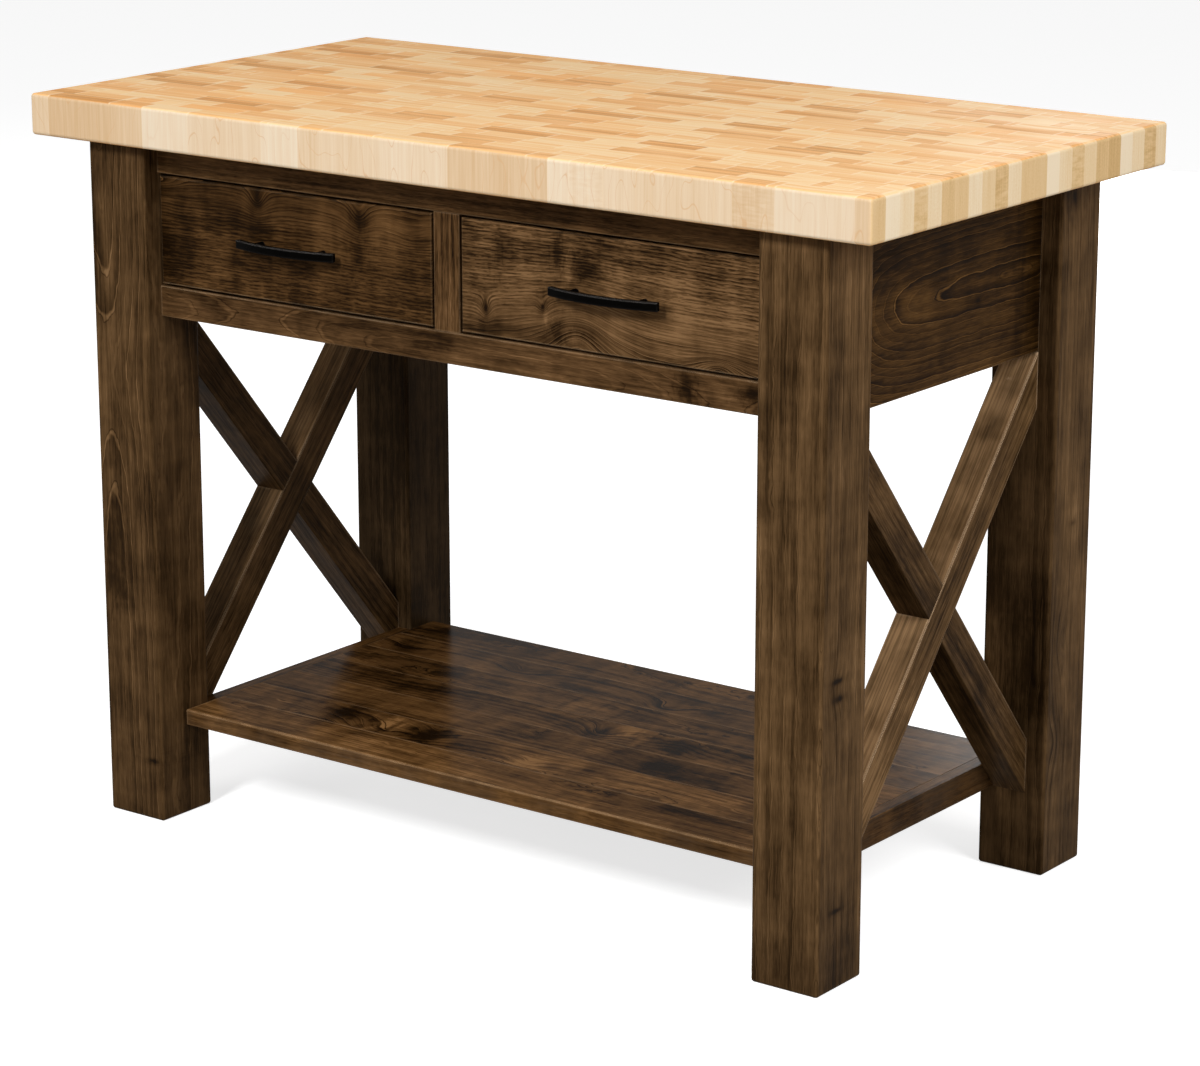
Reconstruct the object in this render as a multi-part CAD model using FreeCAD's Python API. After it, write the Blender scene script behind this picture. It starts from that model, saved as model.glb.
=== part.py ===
import FreeCAD, Part
import math
import os
from FreeCAD import Vector

# Kitchen island: a thick block top on four square posts, two inset drawers in a face frame,
# an X brace at each end and a plank shelf between the posts.
# Millimetres. X runs along the front, Y from front to back, Z up from the floor.
# The origin is on the floor under the middle of the top.

# Overall
total_height = 914.0
top_length = 1219.0
top_depth = 635.0
top_thickness = 51.0
top_edge_round = 4.5
end_overhang = 70.0
front_overhang = 27.0

# Posts
leg_width = 90.0
leg_edge_round = 4.0

# Face frame and aprons
frame_board_thickness = 20.0
face_setback = 25.0
apron_setback = 26.0
rail_height = 38.0
stile_width = 38.0
drawer_opening_height = 139.0
frame_edge_round = 1.0

# Mortise and tenon joints
tenon_thickness = 10.0
tenon_length = 30.0
tenon_shoulder = 8.0
stub_tenon_length = 10.0
mortise_clearance = 0.2

# Dowels
dowel_radius = 4.0
dowel_length = 50.0
dowel_clearance = 0.15

# X braces
brace_width = 45.0
brace_thickness = 45.0
brace_foot_height = 102.0
brace_edge_round = 1.5

# Shelf
shelf_top_height = 136.5
shelf_thickness = 20.0
shelf_front_inset = 48.0
shelf_back_inset = 40.0
shelf_strip_width = 19.0
shelf_board_count = 7
shelf_edge_round = 1.0

# Drawers
drawer_gap = 3.0
drawer_front_thickness = 20.0
drawer_front_round = 1.5
drawer_side_thickness = 15.0
drawer_back_thickness = 15.0
drawer_box_height = 100.0
drawer_box_lift = 15.0
drawer_back_clearance = 41.0
drawer_side_housing = 8.0
drawer_bottom_thickness = 6.0
drawer_bottom_lift = 10.0
drawer_groove_depth = 6.0
groove_clearance = 0.2

# Drawer slides, three telescoping steel channels on each side of a drawer
slide_space = 13.0
slide_height = 45.0
slide_gauge = 1.2
slide_running_gap = 0.4
slide_lip = 1.5
slide_front_gap = 2.0
slide_bearer_height = 60.0
slide_bearer_thickness = 20.0
slide_bearer_tenon_length = 20.0

# Pulls
pull_length = 153.0
pull_pitch = 96.0
pull_projection = 28.0
pull_sagitta = 12.0
pull_bar_height = 10.5
pull_bar_thickness = 7.0
pull_edge_round = 1.2
pull_post_radius = 4.0
pull_screw_radius = 2.0
pull_screw_bite = 12.0
pull_screw_head_radius = 4.0
pull_screw_head_height = 2.5
screw_hole_clearance = 0.2

# Cleats and screws that hold the top down
cleat_width = 25.0
cleat_height = 25.0
cleat_end_gap = 20.0
top_screws_per_cleat = 3
top_screw_radius = 2.5
top_screw_bite = 25.0
top_screw_head_radius = 5.0
top_screw_head_height = 3.0

# Worked out from the sizes above
leg_outer_x = top_length / 2 - end_overhang
leg_outer_y = top_depth / 2 - front_overhang
leg_inner_x = leg_outer_x - leg_width
leg_inner_y = leg_outer_y - leg_width
frame_top = total_height - top_thickness
opening_top = frame_top - rail_height
opening_bottom = opening_top - drawer_opening_height
frame_bottom = opening_bottom - rail_height
face_front = -leg_outer_y + face_setback
face_back = face_front + frame_board_thickness
back_apron_outer = leg_outer_y - face_setback
back_apron_inner = back_apron_outer - frame_board_thickness
apron_outer_x = leg_outer_x - apron_setback
apron_inner_x = apron_outer_x - frame_board_thickness
brace_inner_x = apron_outer_x - brace_thickness
shelf_bottom_height = shelf_top_height - shelf_thickness
shelf_front = -leg_outer_y + shelf_front_inset
shelf_back = leg_outer_y - shelf_back_inset
shelf_end_x = brace_inner_x
plank_end_x = shelf_end_x - shelf_strip_width
drawer_side_length = back_apron_inner - drawer_back_clearance - face_front - drawer_front_thickness
slide_mid_height = (opening_top + opening_bottom) / 2
slide_front = face_front + drawer_front_thickness + slide_front_gap
slide_back = slide_front + drawer_side_length - slide_front_gap

sides = {"left": -1, "right": 1}
ends = {"front": -1, "back": 1}
mortises = []
nodes = {}


def block(x0, x1, y0, y1, z0, z1):
    """A square-edged block between two corners, given in any order."""
    low = Vector(min(x0, x1), min(y0, y1), min(z0, z1))
    size = Vector(abs(x1 - x0), abs(y1 - y0), abs(z1 - z0))
    return Part.makeBox(size.x, size.y, size.z, low)


def edges_along(shape, axis):
    """The straight edges that run along one axis: 0 for X, 1 for Y, 2 for Z."""
    found = []
    for edge in shape.Edges:
        run = edge.Vertexes[-1].Point - edge.Vertexes[0].Point
        if abs(abs(run[axis]) - edge.Length) < 1e-6:
            found.append(edge)
    return found


def eased_block(radius, axis, *limits):
    """A block with its long edges rounded along one axis."""
    shape = block(*limits)
    return shape.makeFillet(radius, edges_along(shape, axis))


def rod(radius, length, start, direction):
    return Part.makeCylinder(radius, length, Vector(*start), Vector(*direction))


def tenon(x0, x1, y0, y1, z0, z1):
    """A tenon. Its mortise, a little larger all round, is noted for the piece that takes it."""
    c = mortise_clearance
    low = [min(x0, x1) - c, min(y0, y1) - c, min(z0, z1) - c]
    high = [max(x0, x1) + c, max(y0, y1) + c, max(z0, z1) + c]
    mortises.append(block(low[0], high[0], low[1], high[1], low[2], high[2]))
    return block(x0, x1, y0, y1, z0, z1)


def cut_all(shape, cutters):
    for cutter in cutters:
        if shape.BoundBox.intersect(cutter.BoundBox):
            shape = shape.cut(cutter)
    return shape


def add(name, *solids):
    """Stores a node as one solid, or as a group of separate solids."""
    nodes[name] = solids[0] if len(solids) == 1 else Part.makeCompound(list(solids))


def long_rail(y0, y1, z0, z1):
    """A board between the posts along X, with a tenon into the post at each end."""
    shape = eased_block(frame_edge_round, 0, -leg_inner_x, leg_inner_x, y0, y1, z0, z1)
    middle = (y0 + y1) / 2
    for sign in sides.values():
        shape = shape.fuse(tenon(sign * leg_inner_x, sign * (leg_inner_x + tenon_length),
                                 middle - tenon_thickness / 2, middle + tenon_thickness / 2,
                                 z0 + tenon_shoulder, z1 - tenon_shoulder))
    return shape


def cross_rail(x0, x1, z0, z1, length):
    """A board between the posts along Y, with a tenon of the given length at each end."""
    shape = eased_block(frame_edge_round, 1, x0, x1, -leg_inner_y, leg_inner_y, z0, z1)
    middle = (x0 + x1) / 2
    for sign in ends.values():
        shape = shape.fuse(tenon(middle - tenon_thickness / 2, middle + tenon_thickness / 2,
                                 sign * leg_inner_y, sign * (leg_inner_y + length),
                                 z0 + tenon_shoulder, z1 - tenon_shoulder))
    return shape


def make_frame():
    rails = {
        "front_top_rail": long_rail(face_front, face_back, opening_top, frame_top),
        "front_bottom_rail": long_rail(face_front, face_back, frame_bottom, opening_bottom),
        "back_apron": long_rail(back_apron_inner, back_apron_outer, frame_bottom, frame_top),
    }
    for side, sign in sides.items():
        rails[side + "_apron"] = cross_rail(sign * apron_inner_x, sign * apron_outer_x,
                                            frame_bottom, frame_top, tenon_length)
        rails[side + "_slide_bearer"] = cross_rail(
            sign * leg_inner_x, sign * (leg_inner_x + slide_bearer_thickness),
            slide_mid_height - slide_bearer_height / 2, slide_mid_height + slide_bearer_height / 2,
            slide_bearer_tenon_length)
    half = stile_width / 2
    stile = eased_block(frame_edge_round, 2, -half, half, face_front, face_back,
                        opening_bottom, opening_top)
    tongue = (face_front + face_back - tenon_thickness) / 2
    for z, way in ((opening_bottom, -1), (opening_top, 1)):
        stile = stile.fuse(tenon(-half + tenon_shoulder, half - tenon_shoulder,
                                 tongue, tongue + tenon_thickness, z, z + way * stub_tenon_length))
    low = slide_mid_height - slide_bearer_height / 2
    high = slide_mid_height + slide_bearer_height / 2
    bearer = block(-half, half, face_back, back_apron_inner, low, high)
    for y, way in ((face_back, -1), (back_apron_inner, 1)):
        bearer = bearer.fuse(tenon(-tenon_thickness / 2, tenon_thickness / 2,
                                   y, y + way * stub_tenon_length,
                                   low + tenon_shoulder, high - tenon_shoulder))
    own = {"front_centre_stile": stile, "centre_slide_bearer": bearer}
    stile_mortises = mortises[-4:-2]
    bearer_mortises = mortises[-2:]
    for name in ("front_top_rail", "front_bottom_rail"):
        rails[name] = cut_all(rails[name], stile_mortises)
    rails["back_apron"] = cut_all(rails["back_apron"], bearer_mortises)
    own["front_centre_stile"] = cut_all(stile, bearer_mortises)
    for name, shape in {**rails, **own}.items():
        add(name, shape)


def dowel(name, solids, holes, start, direction):
    """A dowel centred on the joint at start, and the slightly wider hole for it."""
    way = Vector(*direction)
    low = Vector(*start) - way * (dowel_length / 2)
    solids.setdefault(name, []).append(rod(dowel_radius, dowel_length, low, way))
    low = low - way * dowel_clearance
    holes.append(rod(dowel_radius + dowel_clearance, dowel_length + 2 * dowel_clearance, low, way))


def brace_slope():
    """Slope of a brace whose top edge meets the upper corner and whose lower edge meets the foot."""
    span = 2 * leg_inner_y
    rise = frame_bottom - brace_foot_height
    square = span ** 2 - brace_width ** 2
    half_linear = span * rise
    constant = rise ** 2 - brace_width ** 2
    return (half_linear - math.sqrt(half_linear ** 2 - square * constant)) / square


def brace_bar(x0, x1, way, rounding):
    """A bar of the brace's section lying along one diagonal, longer than the bay at both ends."""
    angle = math.atan(brace_slope())
    length = 2 * leg_inner_y / math.cos(angle) + 4 * brace_width
    half = brace_width / 2
    bar = block(x0, x1, -length / 2, length / 2, -half, half)
    if rounding:
        bar = bar.makeFillet(rounding, edges_along(bar, 1))
    bar.rotate(Vector(0, 0, 0), Vector(1, 0, 0), math.degrees(angle) * way)
    bar.translate(Vector(0, 0, (frame_bottom + brace_foot_height) / 2))
    return bar


def make_braces(dowels, holes):
    bay = {sign: block(sign * brace_inner_x, sign * apron_outer_x, -leg_inner_y, leg_inner_y,
                       brace_foot_height, frame_bottom) for sign in sides.values()}
    contact = brace_width * math.sqrt(1 + brace_slope() ** 2)
    braces = {}
    for side, sign in sides.items():
        x0, x1 = sorted((sign * brace_inner_x, sign * apron_outer_x))
        middle = (x0 + x1) / 2
        rising = brace_bar(x0, x1, 1, brace_edge_round).common(bay[sign])
        falling = brace_bar(x0, x1, -1, brace_edge_round).common(bay[sign])
        braces[side + "_brace_rising"] = rising.cut(brace_bar(x0, middle, -1, 0))
        braces[side + "_brace_falling"] = falling.cut(brace_bar(middle, x1, 1, 0))
        for end in ends.values():
            for z in (brace_foot_height + contact * 0.7, frame_bottom - contact / 2):
                dowel("brace_dowels", dowels, holes, (middle, end * leg_inner_y, z), (0, 1, 0))
    for name, shape in braces.items():
        add(name, cut_all(shape, holes))


def make_shelf(dowels, holes):
    first = len(holes)
    z_middle = (shelf_bottom_height + shelf_top_height) / 2
    for sign in sides.values():
        for y in ((shelf_front - leg_inner_y) / 2, (shelf_back + leg_inner_y) / 2):
            dowel("shelf_dowels", dowels, holes, (sign * leg_inner_x, y, z_middle), (1, 0, 0))
    posts = [block(sx * leg_inner_x, sx * leg_outer_x, sy * leg_inner_y, sy * leg_outer_y,
                   shelf_bottom_height, shelf_top_height)
             for sx in sides.values() for sy in ends.values()]
    width = (shelf_back - shelf_front) / shelf_board_count
    for i in range(shelf_board_count):
        y = shelf_front + i * width
        plank = block(-plank_end_x, plank_end_x, y, y + width, shelf_bottom_height, shelf_top_height)
        if i in (0, shelf_board_count - 1):
            outer = shelf_front if i == 0 else shelf_back
            rim = [e for e in edges_along(plank, 0) if abs(e.Vertexes[0].Y - outer) < 1e-6]
            plank = plank.makeFillet(shelf_edge_round, rim)
        add(f"shelf_board_{i + 1}", cut_all(plank, posts + holes[first:]))
    for side, sign in sides.items():
        add(side + "_shelf_end_strip", cross_rail(sign * plank_end_x, sign * shelf_end_x,
                                                  brace_foot_height, shelf_top_height, stub_tenon_length))


def make_legs(holes):
    for end, sy in ends.items():
        for side, sx in sides.items():
            leg = block(sx * leg_inner_x, sx * leg_outer_x, sy * leg_inner_y, sy * leg_outer_y,
                        0, frame_top)
            foot = [e for e in leg.Edges if e.BoundBox.ZMax < 1e-6]
            leg = leg.makeFillet(leg_edge_round, edges_along(leg, 2) + foot)
            add(f"{end}_{side}_leg", cut_all(leg, mortises + holes))


def make_top():
    top = block(-top_length / 2, top_length / 2, -top_depth / 2, top_depth / 2,
                frame_top, total_height)
    top = top.makeFillet(top_edge_round, top.Edges)
    screws = []
    reach = leg_inner_y - cleat_end_gap
    step = 2 * reach / top_screws_per_cleat
    for side, sign in sides.items():
        cleat = block(sign * apron_inner_x, sign * (apron_inner_x - cleat_width), -reach, reach,
                      frame_top - cleat_height, frame_top)
        x = sign * (apron_inner_x - cleat_width / 2)
        for i in range(top_screws_per_cleat):
            y = -reach + (i + 0.5) * step
            foot = (x, y, frame_top - cleat_height)
            length = cleat_height + top_screw_bite
            shank = rod(top_screw_radius, length, foot, (0, 0, 1))
            head_start = (x, y, frame_top - cleat_height - top_screw_head_height)
            head = rod(top_screw_head_radius, top_screw_head_height, head_start, (0, 0, 1))
            screws.append(shank.fuse(head).removeSplitter())
            hole = rod(top_screw_radius + screw_hole_clearance, length + screw_hole_clearance,
                       foot, (0, 0, 1))
            cleat = cleat.cut(hole)
            top = top.cut(hole)
        add(side + "_top_cleat", cleat)
    add("top_screws", *screws)
    add("butcher_block_top", top)


def channel(wall_x, way, depth, height, start, end):
    """A steel channel along Y: a web on the wall at wall_x, and two flanges that reach out from it."""
    half = height / 2
    far = wall_x + way * depth
    outer = block(wall_x, far, start, end, slide_mid_height - half, slide_mid_height + half)
    inner = block(wall_x + way * slide_gauge, far, start, end,
                  slide_mid_height - half + slide_gauge, slide_mid_height + half - slide_gauge)
    return outer.cut(inner)


def make_slides(side, walls):
    """walls holds the two faces of a drawer opening, each with the way towards the drawer."""
    nest = slide_gauge + slide_running_gap
    cabinet, middle, drawer = [], [], []
    for wall, way in walls:
        cabinet.append(channel(wall, way, slide_space - slide_lip - nest, slide_height,
                               slide_front, slide_back))
        middle.append(channel(wall + way * nest, way, slide_space - slide_lip - nest,
                              slide_height - 2 * nest, slide_front, slide_back))
        drawer.append(channel(wall + way * slide_space, -way, slide_space - 2 * nest,
                              slide_height - 4 * nest, slide_front, slide_back))
    add(side + "_slide_cabinet_channels", *cabinet)
    add(side + "_slide_middle_channels", *middle)
    add(side + "_slide_drawer_channels", *drawer)


def pull(x, z, face):
    """A cast pull: a bowed flat bar on two round posts, with a screw hole up each post."""
    half = pull_length / 2
    radius = (half ** 2 + pull_sagitta ** 2) / (2 * pull_sagitta)
    centre_y = face - pull_projection + radius
    outline = []
    for r in (radius, radius - pull_bar_thickness):
        angle = math.asin(half / radius)
        tips = [Vector(x + way * r * math.sin(angle), centre_y - r * math.cos(angle), 0)
                for way in (-1, 1)]
        outline.append(Part.Arc(tips[0], Vector(x, centre_y - r, 0), tips[1]).toShape())
    starts = [edge.Vertexes[0].Point for edge in outline]
    stops = [edge.Vertexes[-1].Point for edge in outline]
    caps = [Part.LineSegment(starts[0], starts[1]).toShape(), Part.LineSegment(stops[0], stops[1]).toShape()]
    wire = Part.Wire(Part.__sortEdges__(outline + caps))
    bar = Part.Face(wire).extrude(Vector(0, 0, pull_bar_height))
    bar.translate(Vector(0, 0, z - pull_bar_height / 2))
    bar = bar.makeFillet(pull_edge_round, bar.Edges)
    for way in (-1, 1):
        px = x + way * pull_pitch / 2
        back = centre_y - math.sqrt((radius - pull_bar_thickness / 2) ** 2 - (pull_pitch / 2) ** 2)
        bar = bar.fuse(rod(pull_post_radius, face - back, (px, face, z), (0, -1, 0)))
    return bar.removeSplitter()


def make_drawer(side, sign):
    half = stile_width / 2
    inner_wall, outer_wall = sign * half, sign * leg_inner_x
    make_slides(side, ((inner_wall, sign), (outer_wall, -sign)))
    low = opening_bottom + drawer_box_lift
    high = low + drawer_box_height
    face = face_front
    back_of_front = face + drawer_front_thickness
    side_back = back_of_front + drawer_side_length
    front = block(inner_wall + sign * drawer_gap, outer_wall - sign * drawer_gap, face, back_of_front,
                  opening_bottom + drawer_gap, opening_top - drawer_gap)
    rim = [e for e in front.Edges if e.BoundBox.YMax < face + 1e-6]
    front = front.makeFillet(drawer_front_round, rim)

    box_inner = inner_wall + sign * slide_space
    box_outer = outer_wall - sign * slide_space
    t = drawer_side_thickness
    walls = {
        "inner_side": (box_inner, box_inner + sign * t),
        "outer_side": (box_outer - sign * t, box_outer),
    }
    bottom_z = low + drawer_bottom_lift
    g = drawer_groove_depth
    bottom = block(box_inner + sign * (t - g), box_outer - sign * (t - g), back_of_front - g,
                   side_back - drawer_back_thickness + g, bottom_z, bottom_z + drawer_bottom_thickness)
    c = groove_clearance
    groove = block(box_inner + sign * (t - g - c), box_outer - sign * (t - g - c), back_of_front - g - c,
                   side_back - drawer_back_thickness + g + c, bottom_z - c,
                   bottom_z + drawer_bottom_thickness + c)
    front = front.cut(groove)
    for name, (x0, x1) in walls.items():
        board = block(x0, x1, back_of_front, side_back, low, high).cut(groove)
        tongue = block(x0, x1, back_of_front - drawer_side_housing, back_of_front, low, high)
        front = front.cut(tongue)
        add(f"{side}_drawer_{name}", board.fuse(tongue.cut(groove)).removeSplitter())
    back = block(box_inner + sign * t, box_outer - sign * t, side_back - drawer_back_thickness, side_back,
                 low, high)
    add(side + "_drawer_back", back.cut(groove))
    add(side + "_drawer_bottom", bottom)

    pull_x = (inner_wall + outer_wall) / 2
    pull_z = slide_mid_height
    handle = pull(pull_x, pull_z, face)
    screws = []
    for way in (-1, 1):
        px = pull_x + way * pull_pitch / 2
        length = drawer_front_thickness + pull_screw_bite
        shank = rod(pull_screw_radius, length, (px, back_of_front, pull_z), (0, -1, 0))
        head = rod(pull_screw_head_radius, pull_screw_head_height, (px, back_of_front, pull_z), (0, 1, 0))
        screws.append(shank.fuse(head).removeSplitter())
        hole = rod(pull_screw_radius + screw_hole_clearance, length + screw_hole_clearance,
                   (px, back_of_front, pull_z), (0, -1, 0))
        front = front.cut(hole)
        handle = handle.cut(hole)
    add(side + "_drawer_front", front)
    add(side + "_pull", handle)
    add(side + "_pull_screws", *screws)


def main():
    dowels, holes = {}, []
    make_frame()
    make_braces(dowels, holes)
    make_shelf(dowels, holes)
    make_legs(holes)
    make_top()
    for side, sign in sides.items():
        make_drawer(side, sign)
    for name, solids in dowels.items():
        add(name, *solids)
    os.makedirs("parts", exist_ok=True)
    for name, shape in nodes.items():
        shape.exportStep(f"parts/{name}.step")
    print(len(nodes), "nodes,", sum(len(s.Solids) for s in nodes.values()), "solids")
    for name, shape in nodes.items():
        if not shape.isValid() or not shape.Solids:
            print("not valid:", name)


main()
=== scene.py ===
import math
import bpy
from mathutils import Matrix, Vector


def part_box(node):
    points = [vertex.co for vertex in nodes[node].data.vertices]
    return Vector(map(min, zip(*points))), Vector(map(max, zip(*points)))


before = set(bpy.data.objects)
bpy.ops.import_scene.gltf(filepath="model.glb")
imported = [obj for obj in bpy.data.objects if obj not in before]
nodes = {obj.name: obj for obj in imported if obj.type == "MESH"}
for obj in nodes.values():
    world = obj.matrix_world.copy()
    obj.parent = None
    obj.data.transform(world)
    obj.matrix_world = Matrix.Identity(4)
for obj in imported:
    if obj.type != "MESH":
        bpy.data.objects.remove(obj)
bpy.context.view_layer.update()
print("frame loaded,", len(nodes), "pieces")


def make(tree, kind, feeds=None, **props):
    new = tree.nodes.new("ShaderNode" + kind)
    for key, value in props.items():
        setattr(new, key, value)
    for key, value in (feeds or {}).items():
        if isinstance(value, bpy.types.NodeSocket):
            tree.links.new(value, new.inputs[key])
        else:
            new.inputs[key].default_value = value
    return new


def calc(tree, operation, a, b=0.0, c=None):
    feeds = {0: a, 1: b}
    if c is not None:
        feeds[2] = c
    return make(tree, "Math", feeds, operation=operation).outputs[0]


def vectorCalc(tree, operation, a, b=(0.0, 0.0, 0.0), scale=None):
    feeds = {0: a, 1: b}
    if scale is not None:
        feeds["Scale"] = scale
    return make(tree, "VectorMath", feeds, operation=operation).outputs[0]


def dot(tree, a, b):
    return make(tree, "VectorMath", {0: a, 1: b}, operation="DOT_PRODUCT").outputs["Value"]


def cloud(tree, vector, scale, detail=2.0, roughness=0.5):
    spot = vectorCalc(tree, "MULTIPLY", vector, scale)
    feeds = {"Vector": spot, "Scale": 1.0, "Detail": detail, "Roughness": roughness}
    return make(tree, "TexNoise", feeds).outputs[0]


def clouds(tree, vector, kinds):
    return {key: cloud(tree, vector, *how) for key, how in kinds.items()}


def scatter(tree, value, seed):
    feeds = {"W": calc(tree, "ADD", value, seed)}
    return make(tree, "TexWhiteNoise", feeds, noise_dimensions="1D").outputs["Value"]


def remap(tree, value, low, high, newLow=0.0, newHigh=1.0, smooth=True):
    feeds = {0: value, 1: low, 2: high, 3: newLow, 4: newHigh}
    kind = "SMOOTHSTEP" if smooth else "LINEAR"
    return make(tree, "MapRange", feeds, interpolation_type=kind).outputs[0]


def blendColour(tree, factor, a, b, mode="MIX"):
    a, b = (c if isinstance(c, bpy.types.NodeSocket) else (*c, 1.0) for c in (a, b))
    return make(tree, "Mix", {0: factor, 6: a, 7: b}, data_type="RGBA", blend_type=mode).outputs[2]


def ramp(tree, factor, stops):
    new = make(tree, "ValToRGB", {0: factor})
    points = new.color_ramp.elements
    while len(points) < len(stops):
        points.new(1.0)
    for point, (position, colour) in zip(points, stops):
        point.position = position
        point.color = (*colour, 1.0)
    return new.outputs[0]


def weighted(tree, start, parts):
    total = start
    for value, middle, weight in parts:
        total = calc(tree, "MULTIPLY_ADD", calc(tree, "SUBTRACT", value, middle), weight, total)
    return total


# adds layers whose middle is one half, each by its share
def mixIn(tree, start, layer, shares):
    return weighted(tree, start, [(layer[key], 0.5, share) for key, share in shares.items()])


def newGroup(name, inputs, outputs):
    tree = bpy.data.node_groups.new(name, "ShaderNodeTree")
    for label, kind, value in inputs:
        socket = tree.interface.new_socket(label, in_out="INPUT", socket_type="NodeSocket" + kind)
        if value is not None:
            socket.default_value = value
    for label, kind in outputs.items():
        tree.interface.new_socket(label, in_out="OUTPUT", socket_type="NodeSocket" + kind)
    given = tree.nodes.new("NodeGroupInput").outputs
    result = tree.nodes.new("NodeGroupOutput").inputs
    return tree, given, result


def giveOut(tree, result, values):
    for label, value in values.items():
        tree.links.new(value, result[label])


def place(tree, group, feeds):
    return make(tree, "Group", feeds, node_tree=group).outputs


def newMaterial(name):
    material = bpy.data.materials.new(name)
    material.use_nodes = True
    tree = material.node_tree
    tree.nodes.clear()
    shader = make(tree, "BsdfPrincipled")
    end = make(tree, "OutputMaterial")
    tree.links.new(shader.outputs[0], end.inputs[0])
    return material, tree, shader


# height raises the surface by the look's own bump and depth
def finishSurface(tree, shader, look, colour, rough, height):
    bump = make(tree, "Bump", {"Height": height, "Strength": look["bump"], "Distance": look["bumpDepth"]})
    for socket, value in (("Base Color", colour), ("Roughness", rough), ("Normal", bump.outputs[0])):
        tree.links.new(value, shader.inputs[socket])
    if "specular" in look:
        shader.inputs["Specular IOR Level"].default_value = look["specular"]


def dress(name, material):
    nodes[name].data.materials.clear()
    nodes[name].data.materials.append(material)


boardFigure = {
    "noise": {  # scale along and across the grain, detail, and roughness where it is not one half
        "ripple": ((5.0, 26.0, 26.0), 2.0),
        "jitter": ((26.0, 80.0, 80.0), 1.0),
        "wave": ((34.0, 70.0, 70.0), 2.0),
        "fibre": ((7.0, 340.0, 340.0), 3.0, 0.62),
        "streak": ((3.2, 105.0, 105.0), 2.0, 0.55),
        "pores": ((60.0, 800.0, 800.0), 1.0),
        "broken": ((70.0, 260.0, 260.0), 2.0, 0.6),
        "stray": ((70.0, 620.0, 620.0), 1.0),
        "shimmer": ((30.0, 7.0, 7.0), 2.0, 0.55),
        "blotch": ((3.6, 15.0, 15.0), 3.0, 0.58),
        "mottle": ((17.0, 36.0, 36.0), 2.0, 0.55),
    },
    "seedShift": (0.83, 0.37, 0.59),  # metres for each unit of seed
    "driftScale": (2.4, 1.7),  # of the pith, along the board and by seed
    "ringBend": {"ripple": 0.007, "wave": 0.0045, "jitter": 0.0016},  # metres
    "tone": [  # layer, its middle, the setting that scales it and its share
        ("fibre", 0.5, "Fibres", 1.1),
        ("streak", 0.5, "Fibres", 0.4),
        ("pores", 0.5, "Fibres", 0.5),
        ("blotch", 0.5, "Blotches", 1.3),
        ("mottle", 0.5, "Blotches", 0.7),
        ("shimmer", 0.5, "Shimmer", 0.9),
        ("late", 0.22, "Rings", -1.0),
        ("paleLine", 0.05, "Pale Lines", 1.0),
        ("dash", 0.22, "Dashes", -0.9),
    ],
    "height": [("fibre", 0.5, 0.7), ("late", 0.0, -0.3), ("dash", 0.0, -0.3)],  # layer, middle, share
}


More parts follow.
